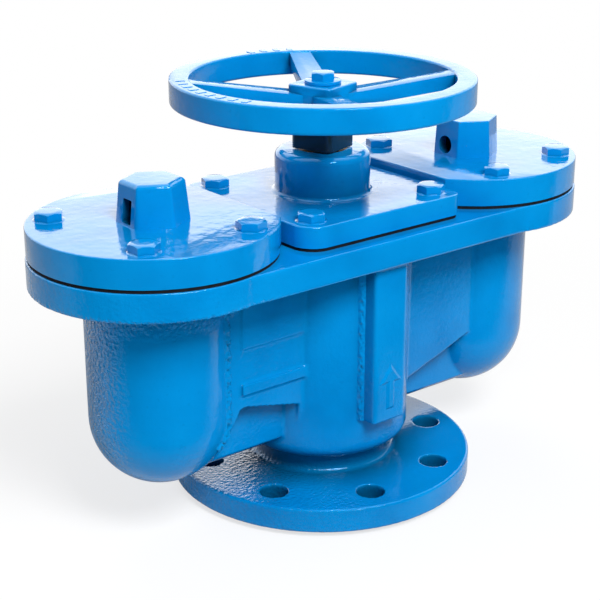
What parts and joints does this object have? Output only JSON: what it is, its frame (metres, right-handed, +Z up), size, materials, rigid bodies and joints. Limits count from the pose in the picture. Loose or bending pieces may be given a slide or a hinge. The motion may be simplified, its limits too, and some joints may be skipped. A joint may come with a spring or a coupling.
{
  "type": "air release valve",
  "caption": "Double-orifice air release valve: flanged casting with two float chambers, bolted covers with vent caps, and a screw-down isolating disc worked by a spoked handwheel.",
  "frame": {"origin": "centre of the pipe flange's raised face, the lowest point of the valve", "axes": "+Z up the spindle, +X along the body towards the small-orifice chamber, -Y to the labelled front"},
  "size_m": [0.4086, 0.2, 0.2724],
  "materials": {
    "blue_paint": "gloss enamel",
    "iron": "as cast, coated",
    "bronze": "turned",
    "steel": "turned",
    "rubber": "matt"
  },
  "bodies": {
    "valve": {"body_casting": "blue_paint", "seat_ring": "bronze", "gasket_left": "rubber", "gasket_right": "rubber", "gasket_bonnet": "rubber", "cover_left": "blue_paint", "cover_right": "blue_paint", "orifice_bush_left": "bronze", "orifice_bush_right": "bronze", "orifice_seal_left": "rubber", "orifice_seal_right": "rubber", "small_nozzle": "bronze", "vent_cap_left": "blue_paint", "vent_cap_right": "blue_paint", "bonnet": "blue_paint", "cover_bolts_left": "blue_paint", "cover_bolts_right": "blue_paint", "bonnet_bolts": "blue_paint", "thrust_bush": "bronze", "gland_packing": "rubber", "gland_nut": "bronze"},
    "wheel": {"spindle": "steel", "handwheel": "blue_paint", "handwheel_washer": "blue_paint", "handwheel_bolt": "blue_paint"},
    "disc": {"isolating_disc": "iron", "disc_rubber": "rubber", "disc_retainer": "steel", "spindle_nut": "bronze"},
    "float_left": {"float_ball_left": "steel"},
    "float_right": {"float_ball_right": "steel"}
  },
  "joints": [
    {"name": "handwheel_turn", "type": "hinge", "parent": "valve", "child": "wheel", "pos_m": [0, 0, 0.19], "axis": [0, 0, 1], "range_deg": [-1440, 0]},
    {"name": "disc_travel", "type": "slide", "parent": "valve", "child": "disc", "axis": [0, 0, 1], "range_m": [-0.02, 0]},
    {"name": "float_left_travel", "type": "slide", "parent": "valve", "child": "float_left", "axis": [0, 0, 1], "range_m": [0, 0.0712]},
    {"name": "float_right_travel", "type": "slide", "parent": "valve", "child": "float_right", "axis": [0, 0, 1], "range_m": [0, 0.0702]}
  ],
  "couplings": [
    {"joint": "disc_travel", "follows": "handwheel_turn", "m_per_rad": 0.00079577}
  ]
}
